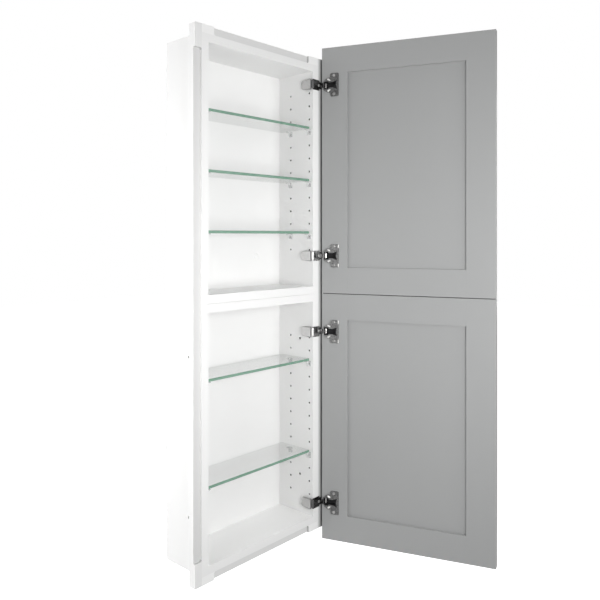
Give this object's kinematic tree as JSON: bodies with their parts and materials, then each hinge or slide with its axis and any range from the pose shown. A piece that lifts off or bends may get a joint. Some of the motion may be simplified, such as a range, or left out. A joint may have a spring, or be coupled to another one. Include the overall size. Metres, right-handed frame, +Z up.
{
  "type": "recessed medicine cabinet",
  "caption": "Shallow wall-recessed cabinet with glass shelves on pins and stacked overlay frame-and-panel doors on concealed cup hinges.",
  "frame": {"origin": "middle of the lower face strip's back, where it lies on the wall", "axes": "+X to the hinge side, +Y into the wall, +Z up"},
  "size_m": [0.5491, 0.5164, 1.2079],
  "materials": {
    "white_paint": "satin white paint on wood",
    "grey_paint": "satin grey paint on wood",
    "glass": "clear float glass with ground green edges",
    "clear_plastic": "clear moulded plastic",
    "nickel": "nickel plated steel"
  },
  "bodies": {
    "cabinet": {"side_left": "white_paint", "side_right": "white_paint", "box_top": "white_paint", "box_bottom": "white_paint", "divider_upper": "white_paint", "divider_lower": "white_paint", "back_panel": "white_paint", "face_left": "white_paint", "face_right": "white_paint", "face_top": "white_paint", "face_bottom": "white_paint", "shelf_upper_1": "glass", "shelf_upper_2": "glass", "shelf_upper_3": "glass", "shelf_lower_1": "glass", "shelf_lower_2": "glass", "shelf_upper_1_pin_front_left": "clear_plastic", "shelf_upper_1_pin_front_right": "clear_plastic", "shelf_upper_1_pin_rear_left": "clear_plastic", "shelf_upper_1_pin_rear_right": "clear_plastic", "shelf_upper_2_pin_front_left": "clear_plastic", "shelf_upper_2_pin_front_right": "clear_plastic", "shelf_upper_2_pin_rear_left": "clear_plastic", "shelf_upper_2_pin_rear_right": "clear_plastic", "shelf_upper_3_pin_front_left": "clear_plastic", "shelf_upper_3_pin_front_right": "clear_plastic", "shelf_upper_3_pin_rear_left": "clear_plastic", "shelf_upper_3_pin_rear_right": "clear_plastic", "shelf_lower_1_pin_front_left": "clear_plastic", "shelf_lower_1_pin_front_right": "clear_plastic", "shelf_lower_1_pin_rear_left": "clear_plastic", "shelf_lower_1_pin_rear_right": "clear_plastic", "shelf_lower_2_pin_front_left": "clear_plastic", "shelf_lower_2_pin_front_right": "clear_plastic", "shelf_lower_2_pin_rear_left": "clear_plastic", "shelf_lower_2_pin_rear_right": "clear_plastic", "hinge_1_base": "nickel", "hinge_2_base": "nickel", "hinge_3_base": "nickel", "hinge_4_base": "nickel", "hinge_1_arm": "nickel", "hinge_2_arm": "nickel", "hinge_3_arm": "nickel", "hinge_4_arm": "nickel"},
    "upper_door": {"upper_door_stile_hinge": "grey_paint", "upper_door_stile_free": "grey_paint", "upper_door_rail_top": "grey_paint", "upper_door_rail_bottom": "grey_paint", "upper_door_panel": "grey_paint", "hinge_1_cup": "nickel", "hinge_2_cup": "nickel"},
    "lower_door": {"lower_door_stile_hinge": "grey_paint", "lower_door_stile_free": "grey_paint", "lower_door_rail_top": "grey_paint", "lower_door_rail_bottom": "grey_paint", "lower_door_panel": "grey_paint", "hinge_3_cup": "nickel", "hinge_4_cup": "nickel"}
  },
  "joints": [
    {"name": "upper_door_swing", "type": "hinge", "parent": "cabinet", "child": "upper_door", "pos_m": [0.2002, -0.0294, 0.8717], "axis": [0, 0, 1], "range_deg": [-110, 0]},
    {"name": "lower_door_swing", "type": "hinge", "parent": "cabinet", "child": "lower_door", "pos_m": [0.2002, -0.0294, 0.2668], "axis": [0, 0, 1], "range_deg": [-110, 0]}
  ]
}
